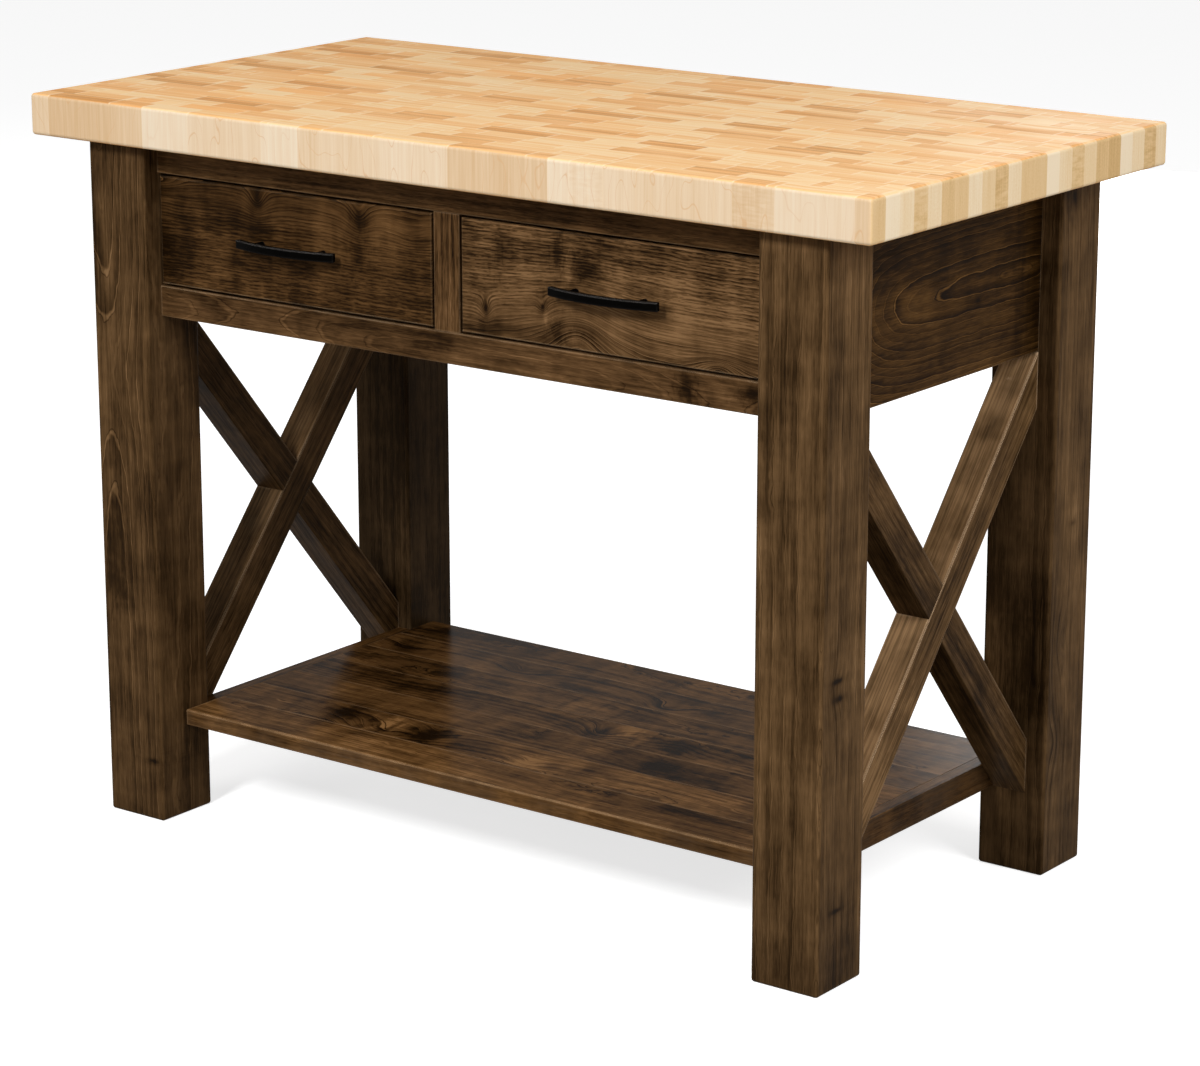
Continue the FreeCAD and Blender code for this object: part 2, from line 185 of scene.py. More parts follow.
# sawn board figure in the board's own frame: rings round a wandering pith with thin pale lines, fibres,
# short dark dashes, bands of shimmer across the grain and soft stain blotches
def makeBoardGrain():
    tree, given, result = newGroup("boardGrain", [
        ("Vector", "Vector", None), ("Ring Vector", "Vector", None), ("Seed", "Float", 0.0),
        ("Pith", "Vector", (0.0, 0.06, 0.1)), ("Wander", "Float", 0.02), ("Ring Spacing", "Float", 0.006),
        ("Rings", "Float", 0.25), ("Pale Lines", "Float", 0.25), ("Fibres", "Float", 0.45),
        ("Dashes", "Float", 0.1), ("Shimmer", "Float", 0.3), ("Blotches", "Float", 0.5),
        ("Shade", "Float", 0.0), ("Boost", "Float", 0.0),
    ], {"Tone": "Float", "Fibre": "Float", "Height": "Float"})
    shift = vectorCalc(tree, "SCALE", boardFigure["seedShift"], scale=given["Seed"])
    layer = clouds(tree, vectorCalc(tree, "ADD", given["Vector"], shift), boardFigure["noise"])
    # distance from the pith, counted in rings
    alongScale, seedScale = boardFigure["driftScale"]
    along = make(tree, "SeparateXYZ", {0: given["Ring Vector"]}).outputs[0]
    drift = make(tree, "CombineXYZ", {0: calc(tree, "MULTIPLY", along, alongScale),
                                      1: calc(tree, "MULTIPLY", given["Seed"], seedScale)}).outputs[0]
    drift = make(tree, "TexNoise", {"Vector": drift, "Scale": 1.0, "Detail": 1.0}).outputs["Color"]
    drift = vectorCalc(tree, "SUBTRACT", drift, (0.5, 0.5, 0.5))
    drift = vectorCalc(tree, "SCALE", drift, scale=given["Wander"])
    away = vectorCalc(tree, "SUBTRACT", given["Ring Vector"], given["Pith"])
    away = vectorCalc(tree, "ADD", away, drift)
    away = vectorCalc(tree, "MULTIPLY", away, (0.0, 1.0, 1.0))
    level = make(tree, "VectorMath", {0: away}, operation="LENGTH").outputs["Value"]
    level = mixIn(tree, level, layer, boardFigure["ringBend"])
    count = calc(tree, "DIVIDE", level, given["Ring Spacing"])
    turn = calc(tree, "FRACT", count)
    # each ring has its own strength: dark late wood, a pale line after it and dashes half way
    strength = scatter(tree, calc(tree, "FLOOR", count), given["Seed"])
    strength = remap(tree, strength, 0.1, 0.9, 0.25, 1.0)
    layer["late"] = calc(tree, "MULTIPLY", calc(tree, "POWER", turn, 2.0), strength)
    edge = calc(tree, "MULTIPLY", remap(tree, turn, 0.8, 0.9), remap(tree, turn, 0.93, 1.0, 1.0, 0.0))
    layer["paleLine"] = calc(tree, "MULTIPLY", edge, strength)
    row = calc(tree, "MULTIPLY", remap(tree, turn, 0.2, 0.42), remap(tree, turn, 0.5, 0.74, 1.0, 0.0))
    row = calc(tree, "MULTIPLY", row, remap(tree, layer["broken"], 0.4, 0.58))
    stray = calc(tree, "MULTIPLY", remap(tree, layer["stray"], 0.48, 0.64), 0.6)
    layer["dash"] = calc(tree, "MAXIMUM", row, stray)
    # where the rings are made clearer, the dashes are calmed
    clearer = calc(tree, "ADD", given["Boost"], 1.0)
    calmer = calc(tree, "MAXIMUM", calc(tree, "SUBTRACT", 1.0, given["Boost"]), 0.1)
    amount = {key: given[key] for key in ("Fibres", "Shimmer", "Blotches")}
    for key, change in (("Rings", clearer), ("Pale Lines", clearer), ("Dashes", calmer)):
        amount[key] = calc(tree, "MULTIPLY", given[key], change)
    tone = weighted(tree, 0.5, [
        (layer[key], middle, calc(tree, "MULTIPLY", amount[setting], share))
        for key, middle, setting, share in boardFigure["tone"]])
    streaky = calc(tree, "MULTIPLY", given["Shade"], remap(tree, layer["fibre"], 0.35, 0.65, 0.7, 1.3))
    tone = calc(tree, "SUBTRACT", tone, streaky)
    height = weighted(tree, 0.5, [(layer[key], *how) for key, *how in boardFigure["height"]])
    giveOut(tree, result, {"Tone": tone, "Fibre": layer["fibre"], "Height": height})
    return tree


knotShape = {
    "bell": (1.0, 1.6),  # how fast it falls, and the power
    "heart": (12.0, 1.6),
    "torn": (2.4, 0.25),  # fall of the patch where its noise is low, and high
    "tornScale": (1.5, 1.5, 1.5),
    "tornSpread": 37.0,  # moves the noise by the mark's place, so that no two patches are alike
    "patchPower": 2.0,
}


# one placed knot, stain patch or patch of painted shade: a wide bell that bends the figure, a tight heart
# and a ragged patch
def makeKnotBell():
    tree, given, result = newGroup("knotBell", [
        ("Vector", "Vector", None), ("Centre", "Vector", None), ("Reach", "Vector", (0.1, 0.1, 0.05)),
    ], {"Bell": "Float", "Heart": "Float", "Patch": "Float"})
    away = vectorCalc(tree, "SUBTRACT", given["Vector"], given["Centre"])
    away = vectorCalc(tree, "DIVIDE", away, given["Reach"])
    far = dot(tree, away, away)
    own = vectorCalc(tree, "ADD", vectorCalc(tree, "MULTIPLY", away, knotShape["tornScale"]),
                     vectorCalc(tree, "SCALE", given["Centre"], scale=knotShape["tornSpread"]))
    torn = remap(tree, cloud(tree, own, (1.0, 1.0, 1.0), 4.0, 0.6), 0.32, 0.68, *knotShape["torn"])
    falls = {"Bell": knotShape["bell"], "Heart": knotShape["heart"]}
    falls["Patch"] = (torn, knotShape["patchPower"])
    for label, (fall, power) in falls.items():
        drop = calc(tree, "DIVIDE", 1.0, calc(tree, "MULTIPLY_ADD", far, fall, 1.0))
        tree.links.new(calc(tree, "POWER", drop, power), result[label])
    return tree


# lighter edges, found where a softened normal leaves the true one: strongest on edges that face one way;
# partly rubbed wear and partly a painted highlight, and on the pulls a painted glint
def makeEdgeWearAndGlint():
    tree, given, result = newGroup("edgeWearAndGlint", [
        ("Vector", "Vector", None), ("Width", "Float", 0.003), ("Breakup", "Float", 0.5),
        ("Facing", "Vector", (0.0, 0.0, 1.0)), ("Elsewhere", "Float", 1.0),
    ], {"Mask": "Float"})
    soft = make(tree, "Bevel", {"Radius": given["Width"]}, samples=6).outputs[0]
    true = make(tree, "NewGeometry").outputs["True Normal"]
    bend = remap(tree, dot(tree, soft, true), 0.985, 0.88)
    rough = remap(tree, cloud(tree, given["Vector"], (30.0, 30.0, 30.0), 3.0), 0.35, 0.62)
    keep = calc(tree, "MULTIPLY_ADD", calc(tree, "SUBTRACT", rough, 1.0), given["Breakup"], 1.0)
    favour = remap(tree, dot(tree, soft, given["Facing"]), 0.72, 0.9, given["Elsewhere"], 1.0)
    mask = calc(tree, "MULTIPLY", calc(tree, "MULTIPLY", bend, keep), favour)
    giveOut(tree, result, {"Mask": mask})
    return tree


boardGrain = makeBoardGrain()
knotBell = makeKnotBell()
edgeWearAndGlint = makeEdgeWearAndGlint()
print("shared groups ready")


darkStain = {  # what every stained board has where its own look says nothing else
    "ramp": [(0.0, (0.0085, 0.0040, 0.0013)), (0.25, (0.029, 0.0137, 0.0044)),
             (0.5, (0.073, 0.0365, 0.0135)), (0.75, (0.125, 0.0640, 0.0250)),
             (1.0, (0.215, 0.115, 0.0490))],
    "tint": (1.0, 1.0, 1.0),
    "lift": 0.0,
    "marks": [],
    "dips": [],
    "rubbedAndGlint": (0.42, 0.285, 0.165),
    "rubAndGlintWidth": 0.0036,
    "wearAndGlint": 0.3,
    "breakup": 0.5,
    "wearAndGlintFacing": None,
    "elsewhere": 0.3,
    "faceSheenAndTone": None,
    "faceScale": (14.0, 14.0, 14.0),
    "rough": (0.42, 0.56),
    "specular": 0.018,
    "bump": 0.14,
    "bumpDepth": 0.0005,
}

turns = {  # brings each piece's grain onto the first axis
    "x": (0.0, 0.0, 0.0),
    "y": (0.0, 0.0, -math.pi / 2),
    "z": (0.0, math.pi / 2, 0.0),
}
braceSlope = 1.18
braceTilt = math.atan(braceSlope)
turns["rising"] = (-braceTilt, 0.0, -math.pi / 2)
turns["falling"] = (braceTilt, 0.0, -math.pi / 2)

figureSockets = {
    "seed": "Seed", "pith": "Pith", "wander": "Wander", "ringSpacing": "Ring Spacing", "rings": "Rings",
    "paleLines": "Pale Lines", "fibres": "Fibres", "dashes": "Dashes", "shimmer": "Shimmer",
    "blotches": "Blotches",
}


def metres(point):
    return tuple(v / 1000.0 for v in point)


# a mark in millimetres of the shared frame: its place and reach, how far the figure is pushed, how dark the
# heart and the patch are, and how much clearer the rings are
def knot(at, reach, push=(0, 0, 0), heart=0.0, darker=0.0, clearer=0.0):
    return at, reach, push, heart, darker, clearer


# a patch with no knot: most are stain, some are painted shade, shadow or reflection, as said where they
# stand
def stainAndShadePatch(at, reach, darker):
    return knot(at, reach, darker=darker)


def footShade(x, y, darker):
    return stainAndShadePatch((x, y, -30), (400, 400, 150), darker)


def alongGrain(tree, name, vector, grain):
    low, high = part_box(name)
    centre = tuple((a + b) / 2 for a, b in zip(low, high))
    own = vectorCalc(tree, "SUBTRACT", vector, centre)
    return make(tree, "Mapping", {"Vector": own, "Rotation": turns[grain]}).outputs[0]


# lift makes a board paler and tint colours its stain; dips push the rings alone, as a pith does that
# runs in and out of the board; faces that face one way take on their own colour, a painted sheen on
# the braces' upper faces and a darker tone on the shelf's front and end faces
def stainedBoard(name, own):
    look = {**darkStain, **own}
    material, tree, shader = newMaterial("stain_" + name)
    coords = make(tree, "TexCoord").outputs
    spot = coords["Object"]
    bent, shade, boost = spot, -look["lift"], 0.0
    for at, reach, push, heart, darker, clearer in look["marks"]:
        mark = place(tree, knotBell, {"Vector": spot, "Centre": metres(at), "Reach": metres(reach)})
        if any(push):
            shift = vectorCalc(tree, "SCALE", metres(push), scale=mark["Bell"])
            bent = vectorCalc(tree, "ADD", bent, shift)
        if heart:
            shade = calc(tree, "MULTIPLY_ADD", mark["Heart"], heart, shade)
        if darker:
            shade = calc(tree, "MULTIPLY_ADD", mark["Patch"], darker, shade)
        if clearer:
            boost = calc(tree, "MULTIPLY_ADD", mark["Bell"], clearer, boost)
    dipped = bent
    for at, reach, push in look["dips"]:
        bell = place(tree, knotBell, {"Vector": spot, "Centre": metres(at), "Reach": metres(reach)})["Bell"]
        dipped = vectorCalc(tree, "ADD", dipped, vectorCalc(tree, "SCALE", metres(push), scale=bell))
    feeds = {"Shade": shade, "Boost": boost}
    feeds["Vector"] = alongGrain(tree, name, bent, look["grain"])
    feeds["Ring Vector"] = alongGrain(tree, name, dipped, look["grain"])
    feeds.update({socket: look[key] for key, socket in figureSockets.items() if key in look})
    figure = place(tree, boardGrain, feeds)
    stops = [(at, tuple(c * t for c, t in zip(colour, look["tint"]))) for at, colour in look["ramp"]]
    colour = ramp(tree, figure["Tone"], stops)
    if look["faceSheenAndTone"]:
        faceWay, paler, faceColour = look["faceSheenAndTone"]
        toward = remap(tree, dot(tree, coords["Normal"], faceWay), 0.8, 0.95, 0.0, paler)
        patchy = remap(tree, cloud(tree, spot, look["faceScale"], 3.0), 0.34, 0.66, 0.25, 1.0)
        streaky = calc(tree, "MULTIPLY", patchy, remap(tree, figure["Fibre"], 0.3, 0.7, 0.5, 1.4))
        colour = blendColour(tree, calc(tree, "MULTIPLY", toward, streaky), colour, faceColour)
    facing = look["wearAndGlintFacing"]
    wornAndGlint = place(tree, edgeWearAndGlint, {
        "Vector": spot, "Width": look["rubAndGlintWidth"], "Breakup": look["breakup"],
        "Facing": facing or (0.0, 0.0, 1.0), "Elsewhere": look["elsewhere"] if facing else 1.0})["Mask"]
    colour = blendColour(tree, calc(tree, "MULTIPLY", wornAndGlint, look["wearAndGlint"]), colour, look["rubbedAndGlint"])
    smooth, coarse = look["rough"]
    rough = remap(tree, figure["Fibre"], 0.3, 0.7, coarse, smooth, False)
    finishSurface(tree, shader, look, colour, rough, figure["Height"])
    dress(name, material)


# the ways below also aim the painted highlights and glints on edges and the painted sheen on brace faces
frontTopEdge = (0.0, -0.707, 0.707)  # the ways that worn edges and faces look
frontLowEdge = (0.0, -0.707, -0.707)
risingEdge = (0.707, -0.54, 0.457)  # upper right edge of a rising brace
fallingEdge = (0.707, 0.54, 0.457)
risingFace = (0.0, -0.763, 0.646)  # upper side of a rising brace

leg = dict(
    grain="z", tint=(1.08, 1.16, 1.24), rings=0.3, paleLines=0.3, ringSpacing=0.009, wander=0.012,
    fibres=0.58, dashes=0.1, shimmer=0.34, blotches=0.7, wearAndGlint=0.4, rubAndGlintWidth=0.004)
# the pale brace edges are partly wear and partly a painted highlight
brace = dict(
    tint=(1.02, 1.08, 1.12), rings=0.34, paleLines=0.3, ringSpacing=0.007, wander=0.02, fibres=0.9,
    dashes=0.12, shimmer=0.4, blotches=0.7, wearAndGlint=0.8, rubAndGlintWidth=0.006, rubbedAndGlint=(0.56, 0.40, 0.25),
    breakup=0.35)
drawer = dict(
    grain="x", rings=0.26, paleLines=0.32, ringSpacing=0.0042, wander=0.012, fibres=0.8, dashes=0.42,
    shimmer=0.8, blotches=0.7, wearAndGlint=0.85, wearAndGlintFacing=frontLowEdge, elsewhere=0.35)
apron = dict(
    tint=(0.81, 0.76, 0.55), rings=0.55, paleLines=0.8, ringSpacing=0.0085, wander=0.012, fibres=0.85,
    dashes=0.08, shimmer=0.35, blotches=0.65)

base = {
    "front_left_leg": dict(
        leg, seed=1.3, pith=(0.0, -0.033, 0.024), paleLines=0.5, lift=0.05, tint=(1.03, 1.09, 1.14),
        dips=[((-515, -290, 570), (300, 300, 165), (0, -32, 0)),
              ((-515, -290, 880), (300, 300, 60), (0, 10, 0))],
        marks=[
            stainAndShadePatch((-520, -290, 355), (26, 60, 50), 0.18),
            stainAndShadePatch((-520, -290, 300), (20, 60, 26), 0.16),
            stainAndShadePatch((-470, -290, 245), (40, 60, 30), 0.12),
            stainAndShadePatch((-450, -215, 610), (60, 30, 40), 0.2),
            # painted shade: a darker inner face, which faces into the frame
            stainAndShadePatch((-449, -240, 300), (16, 60, 420), 0.06),
            knot((-463, -290, 78), (26, 60, 9), heart=0.55, darker=0.1),
            footShade(-495, -245, 0.2)]),
    "front_right_leg": dict(
        leg, seed=4.1, pith=(0.0, 0.17, 0.15), lift=0.075,
        marks=[
            knot((540, -259, 363), (40, 34, 10), heart=0.8),
            knot((540, -255, 342), (40, 34, 14), heart=0.6),
            knot((540, -257, 352), (40, 26, 26), push=(0, 10, 0), darker=0.12),
            knot((540, -255, 94), (40, 38, 10), heart=0.6),
            stainAndShadePatch((462, -290, 560), (30, 60, 28), 0.16),
            stainAndShadePatch((520, -290, 330), (16, 60, 90), 0.24),
            stainAndShadePatch((455, -290, 640), (16, 60, 40), 0.1),
            footShade(495, -245, 0.2)]),
    # painted shade: lift and tint make the whole back left leg darker and cooler, as it stands in shade
    # under the top
    "back_left_leg": dict(
        leg, seed=6.7, pith=(0.0, -0.12, 0.09), lift=-0.17, tint=(0.95, 1.1, 1.35),
        marks=[footShade(-495, 245, 0.1)]),
    "back_right_leg": dict(
        leg, seed=9.2, pith=(0.0, -0.13, -0.10), lift=0.045,
        marks=[
            knot((540, 228, 832), (40, 22, 30), push=(0, 6, 0), heart=0.4, darker=0.2),
            knot((540, 225, 290), (40, 16, 50), push=(0, 16, 0), darker=0.24, clearer=1.0),
            knot((540, 222, 165), (40, 22, 40), push=(0, -14, 0), darker=0.2, clearer=1.0),
            knot((540, 249, 434), (40, 26, 16), heart=0.4),
            stainAndShadePatch((465, 200, 420), (60, 22, 420), 0.24),
            footShade(495, 245, 0.16)]),
    "front_top_rail": dict(
        grain="x", seed=11.4, pith=(0.0, 0.09, -0.1), rings=0.3, fibres=0.8, dashes=0.2, blotches=0.5),
    "front_bottom_rail": dict(
        grain="x", seed=12.9, pith=(0.0, 0.006, -0.013), rings=0.3, paleLines=0.36, ringSpacing=0.0085,
        wander=0.012, fibres=0.8, dashes=0.14, blotches=0.85, wearAndGlint=0.85, wearAndGlintFacing=frontTopEdge,
        dips=[((-290, -266, 650), (170, 300, 300), (0, -30, -14)),
              ((400, -266, 668), (140, 300, 300), (0, -26, 4))],
        marks=[
            stainAndShadePatch((338, -266, 668), (14, 60, 30), 0.45),
            stainAndShadePatch((430, -266, 672), (20, 60, 20), 0.45),
            stainAndShadePatch((382, -266, 668), (30, 60, 18), -0.3)]),
    "front_centre_stile": dict(
        grain="z", seed=14.2, pith=(0.0, 0.08, 0.1), rings=0.3, fibres=0.9, dashes=0.25,
        blotches=0.6, lift=0.07),
    "left_apron": dict(
        apron, grain="y", seed=15.8, pith=(0.0, 0.007, 0.004),
        dips=[((-513, -240, 755), (300, 130, 300), (-80, 0, 0))]),
    # painted shade: the low lift darkens the whole right apron, which lies in the shade of the top's
    # overhang
    "right_apron": dict(
        apron, grain="y", seed=17.3, pith=(0.0, -0.006, -0.001), lift=-0.175,
        dips=[((513, -260, 752), (300, 135, 300), (95, 0, 0)),
              ((513, 240, 754), (300, 40, 300), (22, 0, 0))],
        marks=[
            knot((513, -20, 754), (60, 24, 15), heart=0.3, darker=0.1),
            knot((513, 61, 732), (60, 15, 9), heart=0.4, darker=0.1),
            # painted shade beside the back right leg
            stainAndShadePatch((513, 196, 750), (60, 40, 300), 0.26),
            stainAndShadePatch((513, 50, 754), (60, 90, 7), -0.14)]),
    "back_apron": dict(
        apron, grain="x", seed=19.5, pith=(0.0, 0.004, 0.004),
        dips=[((-470, 265, 755), (210, 300, 300), (0, 66, 0)),
              ((460, 265, 755), (180, 300, 300), (0, 50, 8))],
        marks=[knot((-60, 265, 757), (24, 60, 15), heart=0.3, darker=0.1)]),
    # painted sheen: a faint pale colour on the upper face
    "left_brace_rising": dict(
        brace, grain="rising", seed=21.1, pith=(0.0, 0.1, 0.07), lift=-0.06, wearAndGlint=0.6,
        wearAndGlintFacing=risingEdge, faceSheenAndTone=(risingFace, 0.10, (0.60, 0.38, 0.20))),
    "left_brace_falling": dict(
        brace, grain="falling", seed=22.6, pith=(0.0, -0.1, 0.08), lift=-0.09, wearAndGlint=0.4,
        elsewhere=0.08, wearAndGlintFacing=fallingEdge),
    # painted highlight: a pale painted sheen on the upper face, a strong pale line on the upper edge and a
    # paler patch low down, for light glancing off this brace
    "right_brace_rising": dict(
        brace, grain="rising", seed=24.4, pith=(0.0, 0.09, -0.1), lift=0.06, wearAndGlint=1.0,
        rubAndGlintWidth=0.005, breakup=0.12, rubbedAndGlint=(0.86, 0.60, 0.37), wearAndGlintFacing=risingEdge,
        faceSheenAndTone=(risingFace, 0.55, (0.62, 0.37, 0.18)),
        marks=[stainAndShadePatch((491, -165, 215), (60, 90, 100), -0.4)]),
    "right_brace_falling": dict(
        brace, grain="falling", seed=25.7, pith=(0.0, -0.08, -0.1), lift=-0.1, wearAndGlint=0.3,
        elsewhere=0.03, wearAndGlintFacing=fallingEdge),
    "left_drawer_front": dict(
        drawer, seed=27.2, pith=(0.0, 0.04, -0.26), lift=-0.12, tint=(0.97, 0.93, 0.82),
        marks=[
            knot((-234, -266, 826), (900, 60, 36), darker=-0.04, clearer=2.0),
            knot((-289, -266, 808), (18, 60, 22), push=(0, 0, 20), heart=0.35, darker=0.1, clearer=0.6),
            knot((-131, -266, 806), (22, 60, 30), push=(0, 0, 20), heart=0.4, darker=0.16, clearer=0.4),
            stainAndShadePatch((-132, -266, 764), (13, 60, 24), 0.36),
            stainAndShadePatch((-288, -266, 770), (20, 60, 14), 0.2),
            knot((-450, -266, 815), (52, 60, 12), push=(0, 0, 18), darker=-0.05, clearer=0.4),
            knot((-50, -266, 790), (60, 60, 30), push=(0, 0, 14)),
            stainAndShadePatch((-436, -266, 740), (30, 60, 60), 0.1),
            stainAndShadePatch((-245, -266, 697), (5, 60, 14), -0.16),
            stainAndShadePatch((-195, -266, 697), (5, 60, 14), -0.14),
            stainAndShadePatch((-140, -266, 697), (5, 60, 14), -0.14),
            stainAndShadePatch((-284, -266, 697), (5, 60, 14), -0.12),
            # painted shadow of the pull, below it
            stainAndShadePatch((-240, -266, 734), (70, 60, 11), 0.12)]),
    "right_drawer_front": dict(
        drawer, seed=28.8, pith=(0.0, 0.04, -0.26), lift=0.145, tint=(1.06, 1.09, 1.12),
        dashes=0.6, paleLines=0.46, blotches=0.85,
        marks=[
            knot((300, -266, 696), (150, 60, 38), darker=0.02, clearer=2.2),
            knot((90, -266, 700), (60, 60, 24), clearer=0.8),
            knot((188, -266, 702), (62, 60, 60), push=(0, 0, -42), clearer=0.6),
            knot((383, -266, 691), (34, 60, 16), push=(0, 0, -26), heart=0.4, darker=0.1, clearer=0.3),
            knot((57, -266, 721), (8, 60, 14), push=(0, 0, 18), heart=0.5, darker=0.3),
            knot((139, -266, 733), (9, 60, 12), push=(0, 0, 14), heart=0.5, darker=0.2),
            stainAndShadePatch((206, -266, 782), (24, 60, 20), 0.5),
            stainAndShadePatch((174, -266, 776), (10, 60, 20), -0.4),
            stainAndShadePatch((160, -266, 800), (8, 60, 30), 0.36),
            stainAndShadePatch((76, -266, 792), (9, 60, 30), 0.28),
            stainAndShadePatch((160, -266, 705), (13, 60, 20), 0.32),
            stainAndShadePatch((143, -266, 722), (5, 60, 16), -0.3),
            stainAndShadePatch((70, -266, 701), (80, 60, 24), 0.34),
            stainAndShadePatch((110, -266, 772), (30, 60, 14), -0.16),
            stainAndShadePatch((320, -266, 775), (110, 60, 40), -0.14),
            stainAndShadePatch((184, -266, 703), (9, 60, 18), -0.2),
            stainAndShadePatch((205, -266, 818), (90, 60, 14), 0.14),
            # painted shadow of the pull, below it
            stainAndShadePatch((220, -266, 734), (70, 60, 10), 0.1)]),
}
for name, look in base.items():
    stainedBoard(name, look)
print("base pieces stained")

shelf = {
    # painted shade: the lift falls from the front plank to the back one, darker where the shelf lies in
    # shade
    "boards": [  # seed, pith, gloss, lift and marks of each plank, front to back
        (31.2, (0.0, 0.02, -0.05), 0.0032, 0.06, [
            stainAndShadePatch((295, -186), (84, 13), 0.42),
            stainAndShadePatch((175, -184), (10, 14), 0.3),
            stainAndShadePatch((-165, -205), (120, 34), -0.16),
            stainAndShadePatch((-410, -225), (40, 20), -0.2)]),
        (33.5, (0.0, -0.03, -0.05), 0.0040, 0.03, [
            knot((-205, -168), (74, 46), push=(0, 46, 0), heart=0.3, clearer=1.6),
            stainAndShadePatch((-282, -136), (44, 34), 0.55),
            stainAndShadePatch((-206, -136), (20, 44), -0.62),
            knot((-140, -136), (36, 36), push=(0, 20, 0), darker=0.7, clearer=0.4),
            stainAndShadePatch((-196, -140), (5, 26), 0.5),
            stainAndShadePatch((-70, -130), (50, 30), 0.16),
            knot((26, -152), (32, 22), push=(0, 18, 0), darker=-0.6, clearer=0.8),
            stainAndShadePatch((100, -130), (12, 22), 0.24),
            stainAndShadePatch((230, -140), (120, 40), -0.14),
            stainAndShadePatch((330, -124), (14, 12), 0.2)]),
        (34.6, (0.0, 0.03, -0.05), 0.0048, 0.02, [
            knot((165, -66), (74, 44), push=(0, 10, 0), darker=0.62, clearer=0.2),
            stainAndShadePatch((235, -84), (40, 20), 0.3),
            knot((-26, -52), (26, 20), push=(0, 16, 0), darker=0.34, clearer=0.8),
            stainAndShadePatch((60, -60), (22, 34), -0.2),
            # painted reflection and shade: part of the dark band where the back left leg is mirrored in the
            # shelf
            stainAndShadePatch((-230, -66), (110, 40), 0.2)]),
        (35.1, (0.0, 0.035, -0.04), 0.0056, 0.0, [
            knot((26, 4), (24, 34), push=(0, 40, 0), heart=0.5, darker=0.34, clearer=1.8),
            knot((58, 12), (14, 26), darker=-0.34, clearer=0.6),
            knot((138, 4), (40, 36), push=(0, -16, 0), darker=0.62, clearer=0.6),
            stainAndShadePatch((84, 0), (10, 34), -0.3),
            stainAndShadePatch((-60, 14), (46, 16), 0.24),
            stainAndShadePatch((230, 26), (40, 14), 0.3),
            # painted reflection and shade: part of the dark band where the back left leg is mirrored in the
            # shelf
            stainAndShadePatch((-280, 14), (120, 40), 0.3)]),
        (36.4, (0.0, 0.0, -0.06), 0.0070, -0.05, [
            stainAndShadePatch((-80, 80), (6, 60), 0.24),
            stainAndShadePatch((-34, 86), (7, 50), 0.22),
            stainAndShadePatch((3, 80), (7, 60), 0.2),
            # painted reflection and shade: part of the dark band where the back left leg is mirrored in the
            # shelf
            stainAndShadePatch((-340, 76), (90, 40), 0.2)]),
        (38.9, (0.0, -0.03, -0.05), 0.0078, -0.07, [
            knot((31, 122), (52, 34), push=(0, 36, 0), heart=0.3, clearer=1.5),
            stainAndShadePatch((90, 140), (26, 18), 0.36),
            stainAndShadePatch((-95, 124), (76, 16), 0.4),
            knot((-212, 140), (44, 26), push=(0, 26, 0), darker=0.1, clearer=1.2),
            # a knot, whose darkness is partly painted reflection and shade of the same dark band
            knot((-400, 132), (60, 30), push=(0, 20, 0), heart=0.1, darker=0.34, clearer=0.4),
            stainAndShadePatch((60, 172), (90, 14), 0.2)]),
        (40.3, (0.0, 0.02, -0.05), 0.0078, -0.08, [
            # painted reflection and shade: part of the dark band where the back left leg is mirrored in the
            # shelf
            stainAndShadePatch((-400, 220), (70, 40), 0.26),
            stainAndShadePatch((-180, 196), (110, 12), 0.1)]),
    ],
    "markHeight": 136,  # millimetres
    "markDepth": 60,
    "frontWear": 1.0,
    "seamWear": 0.26,
    "frontFace": (0.5, (0.075, 0.048, 0.029)),
    "endFace": (0.6, (0.048, 0.031, 0.019)),
}
plank = dict(
    grain="x", tint=(1.14, 1.06, 0.86), rough=(0.16, 0.26), specular=0.0065, rings=0.46, paleLines=0.42,
    ringSpacing=0.007, wander=0.04, fibres=0.66, dashes=0.2, shimmer=0.7, blotches=0.6,
    wearAndGlintFacing=frontTopEdge, rubAndGlintWidth=0.005, rubbedAndGlint=(0.50, 0.31, 0.16))
endStrip = dict(plank, grain="y", pith=(0.0, 0.05, -0.05), wearAndGlint=0.3, blotches=0.5, lift=-0.08)


# marks on the planks are given from above
def onShelf(mark):
    at, reach, *rest = mark
    return ((*at, shelf["markHeight"]), (*reach, shelf["markDepth"]), *rest)


for i, (seed, pith, gloss, lift, marks) in enumerate(shelf["boards"]):
    stainedBoard(f"shelf_board_{i + 1}", dict(
        plank, seed=seed, pith=pith, specular=gloss, lift=lift, marks=[onShelf(mark) for mark in marks],
        wearAndGlint=shelf["seamWear"] if i else shelf["frontWear"],
        faceSheenAndTone=((0.0, -1.0, 0.0), *shelf["frontFace"])))
for side, outward, seed in (("left", -1.0, 42.0), ("right", 1.0, 43.6)):
    stainedBoard(side + "_shelf_end_strip", dict(
        endStrip, seed=seed, faceSheenAndTone=((outward, 0.0, 0.0), *shelf["endFace"])))
print("shelf stained")


